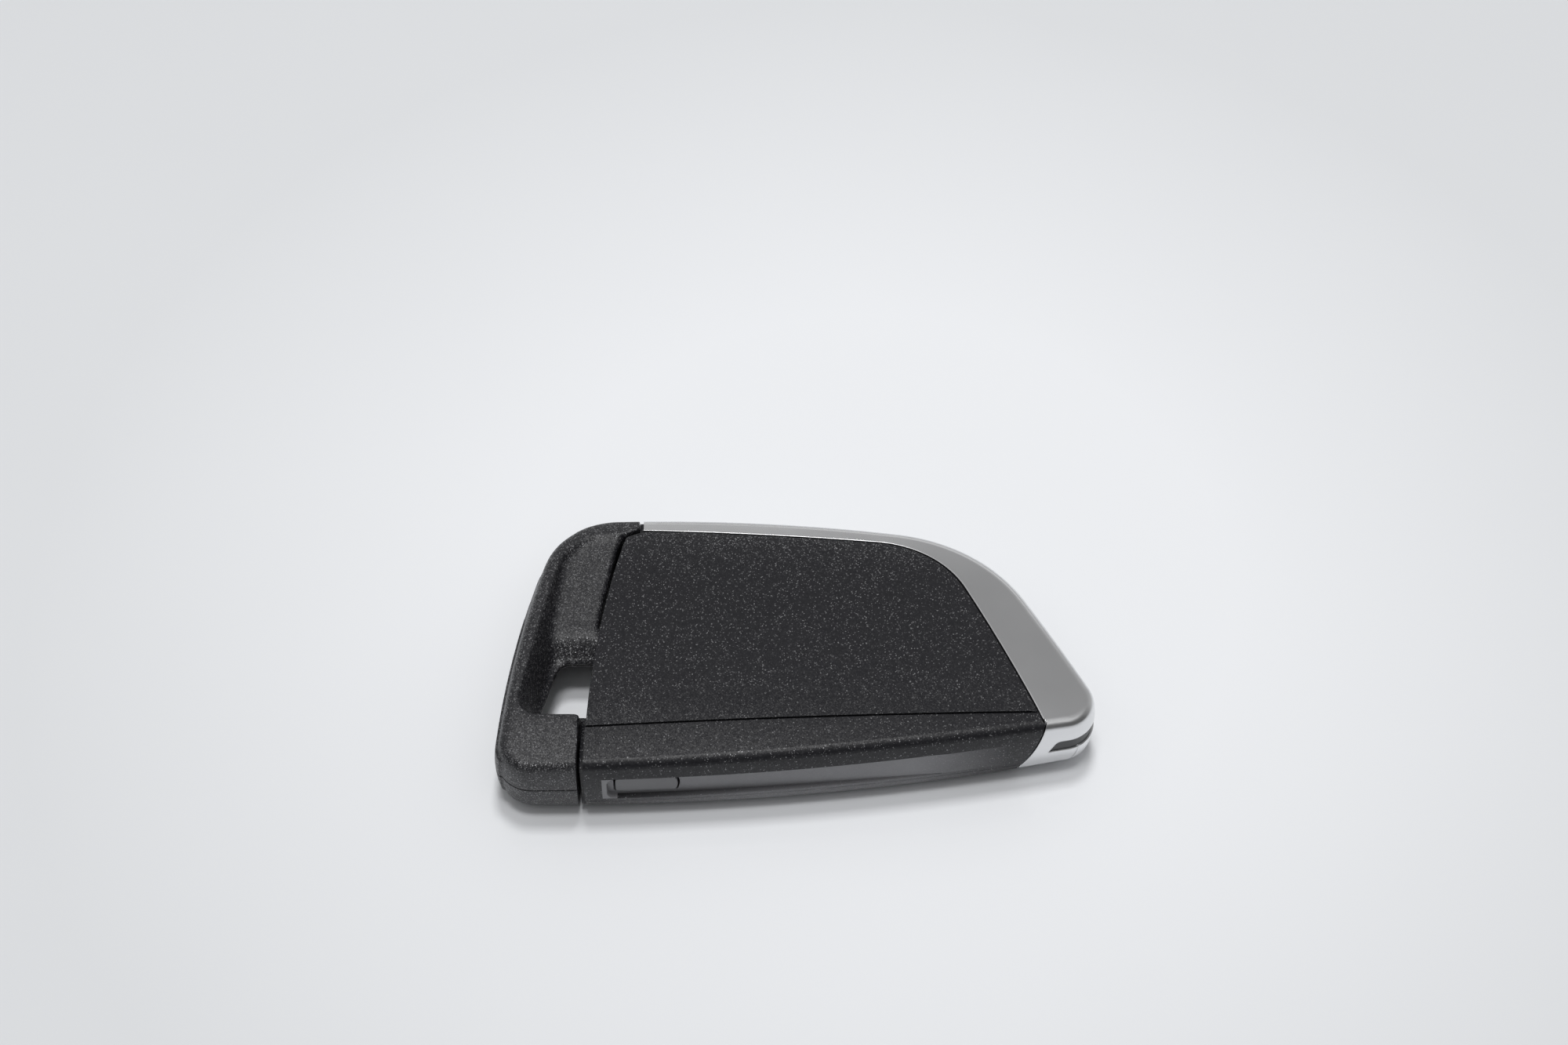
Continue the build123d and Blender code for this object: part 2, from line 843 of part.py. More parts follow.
# Release button, latch and spring


def release_button():
    left, middle, right = channel_floor()
    left, middle, right = [(x, y - release_stand) for x, y in (left, middle, right)]
    plan = make_face(Curve() + [
        ThreePointArc(left, middle, right), Polyline(right, (right[0], 0), (left[0], 0), left),
    ])
    cap = through_near_wall(release_profile(0), release_flange_y) & prism(plan, 0, fob_height)
    half = release_height / 2 + release_flange
    reach = release_length / 2 + release_flange
    flange = box(
        (release_x - reach, release_x + reach), (release_flange_y, release_latch_y),
        (mid_z - half, mid_z + half))
    return cap + flange


def release_latch():
    start = release_latch_y
    end = start + latch_sheet
    z_range = (mid_z - latch_height / 2, mid_z + latch_height / 2)
    arm = box((latch_left_x, latch_left_x + latch_length), (start, end), z_range)
    hook = box((latch_left_x, latch_left_x + latch_sheet), (start, end + latch_hook_reach), z_range)
    return arm + hook


def release_spring():
    start = release_latch_y + spring_play + spring_wire / 2
    end = release_pocket_end_y - spring_play - spring_wire / 2
    radius = (spring_diameter - spring_wire) / 2
    length = end - start
    path = Helix(length / spring_turns, length, radius, center=(0, 0, 0), direction=(0, 0, 1))
    section = Plane(path @ 0, z_dir=path % 0) * Circle(spring_wire / 2)
    coil = sweep(section, path=path, is_frenet=True)
    return Pos(spring_x, start, mid_z) * (Rot(-90, 0, 0) * coil)


# Emergency key: dished head in two halves, blade and pin


def dish_plan():
    far_right, far_left = [place(share) for share in rail_far_shares]
    near_left_x, near_right_x = [share * fob_length for share in rail_near_x_shares]
    near_y = blade_near_y + rail_near_inset
    near_left = (near_left_x, near_y)
    face = make_face(Polyline(far_right, far_left, near_left, (near_right_x, near_y), far_right))
    face = round_corner(face, far_left, rail_far_radius)
    return round_corner(face, near_left, rail_near_radius).face()


def hole_plan():
    near_left_x, far_left_x = [share * fob_length for share in hole_left_shares]
    right_x = bar_left_x + bar_bite
    corners = [
        (near_left_x, hole_near_y), (far_left_x, hole_far_y), (right_x, hole_far_y), (right_x, hole_near_y)]
    face = make_face(Polyline(*corners, corners[0]))
    radii = (hole_near_radius, hole_far_radius, hole_bar_radius, hole_bar_radius)
    for corner, radius in zip(corners, radii):
        face = round_corner(face, corner, radius)
    return face.face()


def dish_cutter():
    floor_z = mid_z + web_thickness / 2
    near_y, far_y = ramp_near_share * fob_width, ramp_far_share * fob_width
    near_z, far_z = mid_z + ramp_near_rise, skin_top - ramp_far_drop
    fall, run = far_z - near_z, far_y - near_y
    foot_y = hole_far_y + ramp_foot_stand
    profile = make_face(Polyline(
        (-fob_width, floor_z), (foot_y, floor_z), (near_y, near_z), (far_y + run, far_z + fall),
        (far_y + run, overrun), (-fob_width, overrun), (-fob_width, floor_z)))
    profile = round_corner(profile, (near_y, near_z), ramp_roll_radius)
    profile = round_corner(profile, (foot_y, floor_z), ramp_foot_radius)
    across = Plane((-fob_length, 0, 0), x_dir=(0, 1, 0), z_dir=(1, 0, 0))
    above = extrude(across * profile.face(), 2 * fob_length)
    lean = math.degrees(math.atan2(dish_wall_lean, half_height))
    walls = extrude(Pos(0, 0, fob_height) * dish_plan(), floor_z - dish_sink - fob_height, taper=lean)
    cutter = walls & above
    rim = cutter.edges().group_by(Axis.Z)[-1]
    return fillet([edge for edge in cutter.edges() if edge not in rim], dish_fillet_radius)


def head_region():
    body_outline = grown(body_region(), head_gap)
    block_of_head = Rectangle(2 * fob_length, 2 * fob_width).face()
    pieces = (block_of_head - body_outline).faces()
    return pieces.sort_by(Axis.X)[0]


def head_bar():
    low, high = mid_z - bar_height / 2, mid_z + bar_height / 2
    return box((bar_left_x, bar_right_x), (bar_near_y, bar_far_y), (low, high))


def head_neck():
    low, high = mid_z - bar_height / 2, mid_z + bar_height / 2
    neck = (bar_left_x - neck_length, bar_left_x + bar_bite)
    near_neck = box(neck, (bar_near_y, hole_near_y), (low, high))
    far_neck = box(neck, (hole_far_y, bar_far_y), (low, high))
    return near_neck + far_neck


def head_solid(skin):
    head = skin & prism(head_region(), -overrun, overrun)
    band_half = band_height / 2
    near_y, far_y = band_near_share * fob_width, band_far_share * fob_width
    band = fob_form(-band_stand) & box(
        (-fob_length, tang_end_x), (near_y, far_y), (mid_z - band_half, mid_z + band_half))
    head = head + band
    head = head + head_neck()
    cutter = dish_cutter()
    head = head - cutter - flip(cutter)
    head = head + head_bar()
    return head - prism(hole_plan(), -overrun, overrun)


def blade_seat():
    half_thick = blade_thickness / 2 + blade_fit
    near_y = blade_near_y - blade_fit
    z_range = (mid_z - half_thick, mid_z + half_thick)
    tang = box((tang_end_x - blade_fit, bar_left_x), (near_y, near_y + tang_width + 2 * blade_fit), z_range)
    wide = box((bar_left_x - blade_fit, overrun), (near_y, near_y + blade_width + 2 * blade_fit), z_range)
    return tang + wide


def pin_solid(grow):
    length = pin_length + 2 * grow
    y = blade_near_y + tang_width / 2
    return upright(pin_diameter + 2 * grow, (pin_x, y), mid_z - length / 2, length)


def head_half(head, low, high):
    half = head & box((-fob_length, fob_length), (-fob_width, fob_width), (low, high))
    return half - blade_seat() - pin_solid(pin_fit)


def blade_groove():
    start_x = bar_right_x + blade_groove_run / 2
    count = int((blade_tip_x - start_x) / blade_groove_run)
    points = []
    for index in range(count + 1):
        side = 1 if index % 2 else -1
        points.append((start_x + index * blade_groove_run, blade_y + side * blade_groove_swing))
    points.append((blade_tip_x + blade_groove_width, blade_y))
    path = FilletPolyline(*points, radius=blade_groove_bend)
    return trace(path, blade_groove_width).faces()[0]


def key_blade():
    low, high = mid_z - blade_thickness / 2, mid_z + blade_thickness / 2
    shoulder_x = blade_tip_x - blade_tip_length
    tip_near_y, tip_far_y = blade_y - blade_tip_width / 2, blade_y + blade_tip_width / 2
    tang_far_y = blade_near_y + tang_width
    outline = make_face(Polyline(
        (tang_end_x, blade_near_y), (shoulder_x, blade_near_y), (blade_tip_x, tip_near_y),
        (blade_tip_x, tip_far_y), (shoulder_x, blade_far_y), (bar_left_x, blade_far_y),
        (bar_left_x, tang_far_y), (tang_end_x, tang_far_y), (tang_end_x, blade_near_y)))
    blade = prism(outline, low, high)
    track = blade_groove()
    upper_groove = prism(track, high - blade_groove_depth, high)
    lower_groove = prism(track, low, low + blade_groove_depth)
    return blade - upper_groove - lower_groove - pin_solid(pin_fit)


def main():
    os.makedirs("parts", exist_ok=True)
    skin = fob_form(0, rounded=True)
    inner_skin = fob_form(core_inset)
    trim_skin = fob_form(trim_wall)
    zone = trim_zone(0)
    core = body_core(skin, inner_skin, trim_zone(seam_gap))
    head = head_solid(skin)
    bay = bay_block(fob_form(bay_inset))
    parts = {
        "back_shell": back_shell(core, bay),
        "front_shell": front_shell(core),
        "metal_trim": metal_trim(skin, trim_skin, zone),
        "trim_insert": trim_insert(),
        "battery_cover": battery_cover(),
        "keypad_mat": keypad_mat(),
        "face_switches": face_switches(),
        "side_switch": side_switch(),
        "lock_button": face_button(button_x[0]),
        "unlock_button": face_button(button_x[1]),
        "boot_button": face_button(button_x[2]),
        "side_button": side_button(),
        "circuit_board": circuit_board(),
        "microcontroller": leaded_chip(controller_size_shares, controller_height, controller_place_shares),
        "radio_chip": leaded_chip(radio_size_shares, radio_height, radio_place_shares),
        "crystal_can": crystal_can(),
        "antenna_coil": antenna_coil(),
        "chip_capacitors": chip_capacitors(),
        "coin_cell": coin_cell(),
        "positive_contact": positive_contact(),
        "negative_contact": negative_contact(),
        "release_button": release_button(),
        "release_latch": release_latch(),
        "release_spring": release_spring(),
        "head_upper_shell": head_half(head, mid_z, fob_height),
        "head_lower_shell": head_half(head, 0, mid_z),
        "key_blade": key_blade(),
        "blade_pin": pin_solid(0),
    }
    for name, solid in parts.items():
        export_step(solid, f"parts/{name}.step")


main()
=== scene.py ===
import bpy
import math
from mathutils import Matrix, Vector


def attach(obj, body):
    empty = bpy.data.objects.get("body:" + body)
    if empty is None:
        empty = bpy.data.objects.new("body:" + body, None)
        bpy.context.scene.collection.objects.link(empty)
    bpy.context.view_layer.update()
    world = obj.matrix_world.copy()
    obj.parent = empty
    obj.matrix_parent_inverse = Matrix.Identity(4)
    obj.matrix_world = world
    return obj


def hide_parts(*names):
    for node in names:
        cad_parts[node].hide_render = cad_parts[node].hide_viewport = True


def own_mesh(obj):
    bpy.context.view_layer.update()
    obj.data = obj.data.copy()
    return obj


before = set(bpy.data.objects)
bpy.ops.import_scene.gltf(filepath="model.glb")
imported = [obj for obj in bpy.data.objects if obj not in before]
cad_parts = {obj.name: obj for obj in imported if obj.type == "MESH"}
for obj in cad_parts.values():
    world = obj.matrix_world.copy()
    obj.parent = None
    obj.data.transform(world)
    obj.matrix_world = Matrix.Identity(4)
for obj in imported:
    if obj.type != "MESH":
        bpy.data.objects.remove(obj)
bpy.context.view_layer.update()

# Table. The fob lies on a glossy, very pale table top, made here as one thin level sheet.
# It keeps the fob's shadow and a faint mirror image of its dark near wall. Its colour is painted
# greyer further away from the fob: painted shade round a painted pool of light on the table.


class Wire:
    """A socket in a material. Sums with it add Math nodes, and node() adds any other node."""

    def __init__(self, tree, socket=None):
        self.tree = tree
        self.socket = socket

    def node(self, kind, settings=None, inputs=None, output=0):
        made = self.tree.nodes.new(kind)
        for name, value in (settings or {}).items():
            if name == "stops":
                ramp = made.color_ramp
                while len(ramp.elements) < len(value):
                    ramp.elements.new(0.5)
                for stop, (place, shade) in zip(ramp.elements, value):
                    stop.position = place
                    stop.color = (shade, shade, shade, 1)
            else:
                setattr(made, name, value)
        for name, value in (inputs or {}).items():
            if isinstance(value, Wire):
                self.tree.links.new(value.socket, made.inputs[name])
            else:
                made.inputs[name].default_value = value
        return Wire(self.tree, made.outputs[output] if made.outputs else None)

    def maths(self, operation, first, second, clamp=False):
        settings = {"operation": operation, "use_clamp": clamp}
        return self.node("ShaderNodeMath", settings, {0: first, 1: second})

    def __add__(self, other):
        return self.maths("ADD", self, other)

    def __sub__(self, other):
        return self.maths("SUBTRACT", self, other)

    def __rsub__(self, other):
        return self.maths("SUBTRACT", other, self)

    def __mul__(self, other):
        return self.maths("MULTIPLY", self, other)

    def __pow__(self, other):
        return self.maths("POWER", self, other)

    def __gt__(self, other):
        return self.maths("GREATER_THAN", self, other)

    def __lt__(self, other):
        return self.maths("LESS_THAN", self, other)

    __radd__ = __add__
    __rmul__ = __mul__

    def fade(self, slope):
        """This value times slope, kept between 0 and 1."""
        return self.maths("MULTIPLY", self, slope, clamp=True)

    def axis(self, number):
        """One coordinate of a place: 0 along the fob, 1 across it, 2 upwards."""
        return self.node("ShaderNodeSeparateXYZ", {}, {0: self}, output=number)

    def arrow(self, operation, first, second=(0, 0, 0)):
        return self.node("ShaderNodeVectorMath", {"operation": operation}, {0: first, 1: second})

    def scaled(self, factor):
        return self.node("ShaderNodeVectorMath", {"operation": "SCALE"}, {0: self, "Scale": factor})

    def noise(self, scale, detail):
        return self.node("ShaderNodeTexNoise", {}, {"Vector": self, "Scale": scale, "Detail": detail})

    def tint(self, low, high):
        """The colour low where this value is 0, and high where it is 1."""
        low, high = [end if isinstance(end, Wire) else (*end, 1) for end in (low, high)]
        return self.node("ShaderNodeMix", {"data_type": "RGBA"}, {0: self, 6: low, 7: high}, output=2)


def new_finish(name, **shader):
    material = bpy.data.materials.new(name)
    material.use_nodes = True
    tree = material.node_tree
    tree.nodes.clear()
    start = Wire(tree)
    place = start.node("ShaderNodeTexCoord", output=3)
    surface = start.node("ShaderNodeBsdfPrincipled", {}, shader)
    start.node("ShaderNodeOutputMaterial", {}, {"Surface": surface})
    return material, place, surface.socket.node


def feed(shader, name, wire):
    wire.tree.links.new(wire.socket, shader.inputs[name])


table_reach = 1.6
sheet_thickness = 0.00002
painted_light_centre = (0.012, 0.02, 0)
falloff_from, falloff_to = 0.055, 0.13
lit_table_colours = (0.85, 0.865, 0.89), (0.88, 0.895, 0.92)
shaded_table_colours = (0.72, 0.735, 0.755), (0.76, 0.775, 0.795)
bpy.ops.object.select_all(action="DESELECT")
bpy.ops.mesh.primitive_grid_add(x_subdivisions=4, y_subdivisions=4, size=2 * table_reach)
table = bpy.context.object
table.name = "table_top"
bpy.ops.object.mode_set(mode="EDIT")
bpy.ops.mesh.extrude_region_move(TRANSFORM_OT_translate={"value": (0, 0, -sheet_thickness)})
bpy.ops.object.mode_set(mode="OBJECT")
table_finish, place, shader = new_finish(
    "pale_glossy_table", **{"Roughness": 0.12, "Specular IOR Level": 0.4})
smear = place.noise(9.0, 4.0)
# Painted light: the table's colour is paler near the fob and greyer further off, a painted pool of
# light.
away = place.node(
    "ShaderNodeVectorMath", {"operation": "DISTANCE"}, {0: place, 1: painted_light_centre}, output=1)
painted_falloff = away.node("ShaderNodeMapRange", {"clamp": True}, {0: away, 1: falloff_from, 2: falloff_to})
feed(shader, "Base Color", painted_falloff.tint(smear.tint(*lit_table_colours), smear.tint(*shaded_table_colours)))
table.data.materials.append(table_finish)

# Room and lamps. A soft, pale room lies all round, brighter high up behind the camera, with three
# softboxes in it. The one beyond the fob makes the shadow on the near side, and isn't mirrored.
# The walls' light is listed from floor to ceiling.
near_wall_light = [(0.0, 0.10), (0.6, 0.14), (0.86, 0.8), (1.0, 0.35)]
far_wall_light = [(0.0, 0.5), (0.4, 0.43), (0.6, 0.38), (0.78, 0.32), (1.0, 0.34)]
near_to_far_slope = 1.5
world = bpy.data.worlds.new("soft_room")
bpy.context.scene.world = world
world.use_nodes = True
world.node_tree.nodes.clear()
room = Wire(world.node_tree)
way = room.node("ShaderNodeTexCoord", output=0)
rise = way.axis(2)
near_wall, far_wall = [
    rise.node("ShaderNodeValToRGB", {"stops": light}, {0: rise})
    for light in (near_wall_light, far_wall_light)]
farness = (way.axis(1) + 0.5 / near_to_far_slope).fade(near_to_far_slope)
background = room.node(
    "ShaderNodeBackground", {}, {"Color": farness.tint(near_wall, far_wall), "Strength": 1.0})
room.node("ShaderNodeOutputWorld", {}, {"Surface": background})


def soft_lamp(name, place, size, power):
    """A rectangular softbox that points at the fob."""
    lamp = bpy.data.lights.new(name, "AREA")
    lamp.shape = "RECTANGLE"
    lamp.size, lamp.size_y = size
    lamp.energy = power
    holder = bpy.data.objects.new(name, lamp)
    bpy.context.collection.objects.link(holder)
    holder.location = place
    holder.rotation_euler = Vector(place).to_track_quat("Z", "Y").to_euler()
    return holder


soft_lamp("overhead_softbox", place=(-0.03, -0.08, 0.97), size=(0.24, 0.14), power=2.6)
shade_lamp = soft_lamp("far_key_lamp", place=(0, 0.205, 0.96), size=(0.16, 0.16), power=3.3)
shade_lamp.visible_glossy = False
soft_lamp("far_softbox", place=(0.1, 0.95, 0.35), size=(1.0, 0.3), power=0.3)

# Camera. It looks down on the fob from the near side, 52 degrees above the table.
# Its place and lens were fitted to the outline of the fob in the photograph.
camera_rise = math.radians(52)
camera_reach = 0.4772
camera_aim = Vector((-0.00197, 0.0313, 0))
sensor_width = 36.0
focal_pixels, frame_pixels = 3895, 2000
lens = bpy.data.cameras.new("camera")
lens.sensor_width = sensor_width
lens.lens = sensor_width * focal_pixels / frame_pixels
lens.clip_start = 0.01
camera = bpy.data.objects.new("camera", lens)
bpy.context.collection.objects.link(camera)
back = Vector((0, -math.cos(camera_rise), math.sin(camera_rise)))
camera.location = camera_aim + camera_reach * back
camera.rotation_euler = back.to_track_quat("Z", "Y").to_euler()
bpy.context.scene.camera = camera
bpy.context.scene.view_settings.view_transform = "Standard"

# Body shells. Two injection-moulded halves in black nylon, clipped together, with a fine
# spark-eroded grain. The grain shows small bright flecks where it catches the light. The floor
# of the side channel and the lip below it are painted paler grey: a painted reflection of the table.


def dress(node, material):
    """Gives a CAD node its finish."""
    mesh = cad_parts[node].data
    mesh.materials.clear()
    mesh.materials.append(material)


def fine_relief(place, height, strength, depth, rounding):
    """Which way the surface faces, with its edges rounded and a shallow relief on it."""
    edge = place.node("ShaderNodeBevel", {"samples": 4}, {"Radius": rounding})
    return place.node("ShaderNodeBump", {}, {
        "Height": height, "Strength": strength, "Distance": depth, "Normal": edge})


def grained_plastic(name, dark, light, flakes, roughness, tilt, gloss, painted_reflection=None, livelier=None):
    """Moulded plastic. Each grain of its texture is tilted its own way, and a few shine like flakes.
    More flakes shine where flakes is lower. A function given for the pale colour reads a place on the
    piece and lays that pale grey there, a painted reflection; one given for livelier flakes reads a
    place and lets more flakes shine there."""
    grain_scale, mottle_scale = 7000.0, 1500.0
    reflection_colour, flake_colour = (0.25, 0.25, 0.262), (0.30, 0.30, 0.31)
    material, place, shader = new_finish(name, **{"Specular IOR Level": gloss})
    grains = {"Vector": place, "Scale": grain_scale, "Randomness": 1.0}
    lot = place.node("ShaderNodeTexVoronoi", {"feature": "F1"}, grains, output=1)
    luck = lot.node("ShaderNodeSeparateColor", {}, {0: lot}, output=1)
    mottle = place.noise(mottle_scale, 4.0)
    flake = luck ** (flakes - livelier(place) if livelier else flakes)
    shade = mottle.tint(dark, light)
    # Painted reflection: where a place function is given, a pale grey is laid over the colour there.
    if painted_reflection:
        shade = painted_reflection(place).tint(shade, reflection_colour)
    feed(shader, "Base Color", flake.tint(shade, flake_colour))
    feed(shader, "Roughness", roughness + 0.12 * mottle)
    feed(shader, "Metallic", 0.7 * flake)
    relief = fine_relief(place, mottle, strength=0.3, depth=0.00008, rounding=0.00014)
    lean = lot.arrow("SUBTRACT", lot, (0.5, 0.5, 0.5))
    way = lean.arrow("ADD", relief, lean.scaled(tilt))
    feed(shader, "Normal", way.arrow("NORMALIZE", way))
    return material


def painted_channel_reflection(place):
    """Where the pale painted reflection of the table lies: 1 on the floor of the side channel and up
    to 0.6 on the lip below it, fading towards the tip.
    """
    channel_start, channel_end, end_fade = -0.0281, 0.031, 70.0
    floor_low, floor_high = 0.0045, 0.0093
    lip_start, lip_fade, lip_share = -0.03, 40.0, 0.6
    near_side = -0.015
    x, y, z = [place.axis(number) for number in range(3)]
    along = (x > channel_start) * (channel_end - x).fade(end_fade)
    lip = lip_share * (x - lip_start).fade(lip_fade)
    height = z.maths("MAXIMUM", z > floor_low, lip)
    return along * height * (y < near_side) * (z < floor_high)


shell_finish = grained_plastic(
    "grained_black_shell", dark=(0.006, 0.006, 0.008), light=(0.014, 0.014, 0.017),
    flakes=40.0, roughness=0.32, tilt=0.18, gloss=0.38, painted_reflection=painted_channel_reflection)
dress("back_shell", shell_finish)
dress("front_shell", shell_finish)

# Shade blocks in the seam. Two small blocks of the shells' black plastic stand on the back shell's
# end face, in the seam between the body and the key's head, at the near side and behind the end
# of the metal trim: painted shade that keeps the seam dark and stops light showing through it.
block_rounding = 0.00012


def seam_shade_block(name, low, high):
    bpy.ops.object.select_all(action="DESELECT")
    size = [top - bottom for bottom, top in zip(low, high)]
    middle = [(top + bottom) / 2 for bottom, top in zip(low, high)]
    bpy.ops.mesh.primitive_cube_add(size=1, location=middle, scale=size)
    bpy.ops.object.transform_apply(location=True, rotation=True, scale=True)
    bpy.ops.object.mode_set(mode="EDIT")
    bpy.ops.mesh.select_all(action="SELECT")
    bpy.ops.mesh.bevel(offset=block_rounding, segments=3)
    bpy.ops.object.mode_set(mode="OBJECT")
    piece = bpy.context.object
    piece.name = name
    bpy.ops.object.shade_smooth_by_angle(angle=math.radians(40))
    piece.data.materials.append(shell_finish)
    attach(piece, "body")


seam_shade_block("near_seam_shade_block", low=(-0.0313, -0.0218, 0.0018), high=(-0.0300, -0.0165, 0.0108))
seam_shade_block("far_seam_shade_block", low=(-0.02372, 0.0199, 0.0018), high=(-0.0229, 0.0219, 0.0117))

# Battery cover. A separate moulded lid, crowned along and across, clipped into the back shell.
# It is the same black nylon as the shells, with a stronger grain that sparkles. More of its flakes
# are painted on towards its far and tip edges: a painted highlight.


def far_highlight_near_facet(place):
    """How much more grain shines: more towards the cover's far and tip edges, as a painted
    highlight, and less on the facet at its near edge."""
    far_slope, far_start, far_fade = 0.022, 0.0115, 160.0
    facet_slope, facet_start, facet_fade = 0.0389, -0.0107, 1500.0
    facet_end, end_fade = -0.021, 160.0
    x, y = [place.axis(number) for number in range(2)]
    far = (far_slope * x + y - far_start).fade(far_fade)
    facet = (facet_start - facet_slope * x - y).fade(facet_fade) * (x - facet_end).fade(end_fade)
    return 18.0 * far - 50.0 * facet


cover_finish = grained_plastic(
    "sparkling_black_cover", dark=(0.005, 0.005, 0.007), light=(0.012, 0.012, 0.015),
    flakes=30.0, roughness=0.32, tilt=0.34, gloss=0.42, livelier=far_highlight_near_facet)
dress("battery_cover", cover_finish)

# Head of the emergency key. Two halves moulded in black nylon and joined at mid height, dished for
# a thumb, with the key-ring hole at the bottom of the dish. The dish and the rim are softly rounded.
head_finish = grained_plastic(
    "grained_black_head", dark=(0.006, 0.006, 0.008), light=(0.016, 0.016, 0.019),
    flakes=11.0, roughness=0.36, tilt=0.36, gloss=0.6)
skin_grid = 0.00018
mid_height = 0.00695
dish_low, dish_high = (-0.0405, -0.0165), 0.0205
dish_floor = 0.0004
dish_passes = (26, 0.0), (30, 0.0006)


def cad_copy(name, node):
    """A clean mesh made from a CAD node."""
    bpy.ops.object.select_all(action="DESELECT")
    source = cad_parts[node]
    piece = bpy.data.objects.new(name, source.data.copy())
    bpy.context.collection.objects.link(piece)
    piece.matrix_world = source.matrix_world.copy()
    piece.data.materials.clear()
    piece.select_set(True)
    bpy.context.view_layer.objects.active = piece
    bpy.ops.object.transform_apply(location=True, rotation=True, scale=True)
    bpy.ops.mesh.customdata_custom_splitnormals_clear()
    bpy.ops.object.mode_set(mode="EDIT")
    bpy.ops.mesh.select_all(action="SELECT")
    bpy.ops.mesh.remove_doubles(threshold=0.000002)
    bpy.ops.object.mode_set(mode="OBJECT")
    return piece


def soft_half(name, node, top):
    """A moulded half with the dish worked into a soft bowl. top is 1 for the upper half and -1 for
    the lower."""
    piece = cad_copy(name, node)
    piece.data.remesh_voxel_size = skin_grid
    bpy.ops.object.voxel_remesh()
    bpy.ops.object.mode_set(mode="EDIT")
    bpy.ops.mesh.select_all(action="SELECT")
    bpy.ops.mesh.vertices_smooth(factor=0.5, repeat=4)
    bpy.ops.object.mode_set(mode="OBJECT")
    for repeats, margin in dish_passes:
        bpy.ops.object.mode_set(mode="EDIT")
        bpy.ops.mesh.select_all(action="DESELECT")
        bpy.ops.object.mode_set(mode="OBJECT")
        for point in piece.data.vertices:
            x, y, z = point.co
            inside = dish_low[0] + margin < x and dish_low[1] + margin < y < dish_high - margin
            point.select = inside and top * (z - mid_height) > dish_floor + margin
        bpy.ops.object.mode_set(mode="EDIT")
        bpy.ops.mesh.vertices_smooth(factor=0.5, repeat=repeats)
        bpy.ops.object.mode_set(mode="OBJECT")
    bpy.ops.object.shade_smooth()
    piece.data.materials.append(head_finish)
    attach(piece, "emergency_key")
    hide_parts(node)


soft_half("head_upper_look", "head_upper_shell", 1)
soft_half("head_lower_look", "head_lower_shell", -1)

# Metal trim. One zinc casting round the far side and the tip, chromed, satin on its faces and
# polished on its edges, with a slot along its side. It is clamped between the two shells.


def satin_metal(name, low, high, roughness, rounding=0.0003):
    """Brushed or blasted metal, slightly clouded, between two colours."""
    cloud_scale, blast_scale = 140.0, 6000.0
    material, place, shader = new_finish(name, **{"Metallic": 1.0})
    cloud = place.noise(cloud_scale, 2.0)
    blast = place.noise(blast_scale, 2.0)
    feed(shader, "Base Color", cloud.tint(low, high))
    feed(shader, "Roughness", roughness + 0.05 * cloud)
    feed(shader, "Normal", fine_relief(place, blast, strength=0.05, depth=0.00002, rounding=rounding))
    return material


dress("metal_trim", satin_metal(
    "satin_chromed_trim", low=(0.70, 0.705, 0.715), high=(0.76, 0.765, 0.775), roughness=0.2))

# Polished line on the trim. The casting's inner top edge, next to the cover, is rounded and buffed
# bright, where the rest is satin. It is made as a fine wire along that edge, half sunk in it.
wire_radius = 0.00011
sharpest_turn = math.radians(50)
line_height, line_side = 0.0105, -0.0135
cover_middle = Vector((-0.02, -0.02, 0))
edge_line = cad_copy("trim_bright_edge", "metal_trim")
bpy.ops.object.mode_set(mode="EDIT")
bpy.ops.mesh.select_mode(type="EDGE")
bpy.ops.mesh.select_all(action="DESELECT")
bpy.ops.mesh.edges_select_sharp(sharpness=sharpest_turn)
bpy.ops.object.mode_set(mode="OBJECT")
mesh = edge_line.data
faces_at = {}
for face in mesh.polygons:
    for key in face.edge_keys:
        faces_at.setdefault(key, []).append(face)
for edge in mesh.edges:
    faces = faces_at.get(tuple(sorted(edge.vertices)), [])
    middle = (mesh.vertices[edge.vertices[0]].co + mesh.vertices[edge.vertices[1]].co) / 2
    to_cover = (cover_middle - Vector((middle.x, middle.y, 0))).normalized()
    beside_top = any(face.normal.z > 0.7 for face in faces)
    beside_wall = any(abs(face.normal.z) < 0.3 and face.normal.dot(to_cover) > 0.3 for face in faces)
    on_line = middle.z > line_height and middle.y > line_side
    edge.select = edge.select and beside_top and beside_wall and on_line
bpy.ops.object.mode_set(mode="EDIT")
bpy.ops.mesh.select_all(action="INVERT")
bpy.ops.mesh.delete(type="EDGE")
bpy.ops.object.mode_set(mode="OBJECT")
bpy.ops.object.convert(target="CURVE")
edge_line.data.bevel_depth = wire_radius
edge_line.data.bevel_resolution = 3
bpy.ops.object.convert(target="MESH")
bpy.ops.object.shade_smooth()
edge_line = bpy.context.object
edge_line.data.materials.append(satin_metal(
    "polished_edge", low=(0.80, 0.80, 0.81), high=(0.84, 0.84, 0.85), roughness=0.3, rounding=0.00001))
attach(edge_line, "body")

# Strip in the trim's slot. A dark plastic strip, moulded on its own and pressed into the slot from
# inside, so that it lies a little below the metal.


def smooth_plastic(name, dark, light, roughness):
    """Plastic, rubber, lacquer or ceramic with a fine even skin."""
    cloud_scale, pore_scale = 260.0, 7000.0
    material, place, shader = new_finish(name, **{"Specular IOR Level": 0.5})
    cloud = place.noise(cloud_scale, 3.0)
    pores = place.noise(pore_scale, 1.0)
    feed(shader, "Base Color", cloud.tint(dark, light))
    feed(shader, "Roughness", roughness + 0.08 * cloud)
    feed(shader, "Normal", fine_relief(place, pores, strength=0.12, depth=0.00004, rounding=0.00012))
    return material


dress("trim_insert", smooth_plastic(
    "dark_grey_strip", dark=(0.035, 0.037, 0.04), light=(0.048, 0.05, 0.053), roughness=0.34))
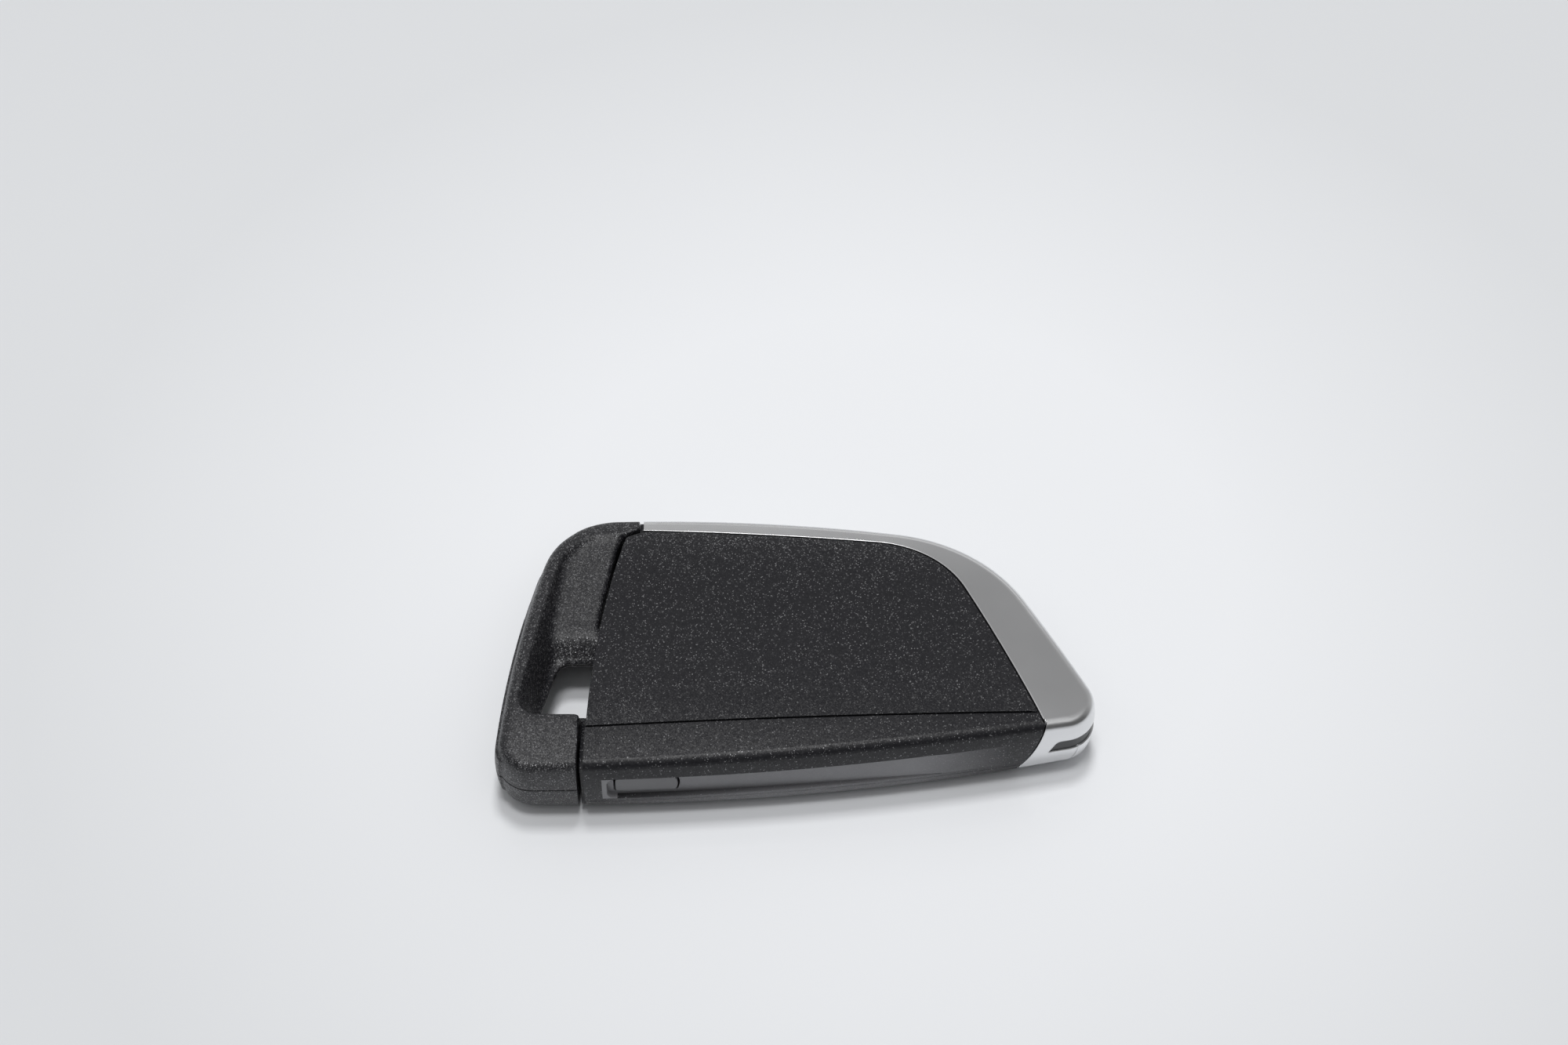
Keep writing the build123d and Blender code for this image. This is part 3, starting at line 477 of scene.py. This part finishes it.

# Release button and push buttons. Small smooth moulded keys: one in the near wall's channel, three
# under the front face and one in the trim's slot. A flange behind the wall holds each of them.
# Their grey is painted lighter than their black plastic: a painted reflection of the bright table.
button_painted_reflection_finish = smooth_plastic(
    "satin_black_button_painted_reflection", dark=(0.17, 0.17, 0.178), light=(0.20, 0.20, 0.208), roughness=0.36)
for node in ("release_button", "lock_button", "unlock_button", "boot_button", "side_button"):
    dress(node, button_painted_reflection_finish)

# Keypad mat. Grey silicone rubber, moulded in one sheet with a post behind each button.
# It lies on the circuit board and pushes the buttons back out.
dress("keypad_mat", smooth_plastic(
    "grey_silicone", dark=(0.18, 0.18, 0.19), light=(0.24, 0.24, 0.25), roughness=0.7))

# Circuit board. Glass-fibre board under a green solder mask, cut to the room between the shells.
# It carries the switches, the chips, the coil and the cell's contacts.
dress("circuit_board", smooth_plastic(
    "green_board", dark=(0.010, 0.085, 0.045), light=(0.018, 0.125, 0.065), roughness=0.35))

# Chips on the board. Black moulded packages with a dull skin, soldered flat on the board.
# The larger one runs the fob and the smaller one is its radio.
chip_finish = smooth_plastic(
    "black_chip", dark=(0.012, 0.012, 0.014), light=(0.022, 0.022, 0.024), roughness=0.55)
for node in ("microcontroller", "radio_chip"):
    dress(node, chip_finish)

# Chip capacitors. Small tan ceramic blocks, fired and cut from a larger slab, and soldered beside
# the chips.
dress("chip_capacitors", smooth_plastic(
    "tan_ceramic", dark=(0.34, 0.25, 0.15), light=(0.46, 0.35, 0.22), roughness=0.4))

# Antenna coil. Enamelled copper wire wound on a ferrite core, soldered on the board.
# The car's own field is picked up by it.
dress("antenna_coil", satin_metal(
    "enamelled_copper", low=(0.60, 0.28, 0.14), high=(0.75, 0.40, 0.22), roughness=0.3))

# Steel parts. The cell's can, its contacts, the crystal's can and the switches are pressed from
# sheet, and the latch, blade and pin are ground from bar.
steel_finish = satin_metal(
    "ground_steel", low=(0.52, 0.52, 0.53), high=(0.64, 0.64, 0.65), roughness=0.28)
for node in ("crystal_can", "face_switches", "side_switch", "coin_cell", "positive_contact",
             "negative_contact", "release_latch", "release_spring", "key_blade", "blade_pin"):
    dress(node, steel_finish)

# Release spring. A small spring coiled from steel wire. It sits between the button and the end of
# its pocket. On the fob its coils close up as the button is pressed; here it is one rigid copy
# that moves with the release.
spring = cad_copy("release_spring_look", "release_spring")
bpy.ops.object.shade_smooth()
spring.data.materials.append(steel_finish)
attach(spring, "release")
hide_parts("release_spring")
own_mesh(spring)
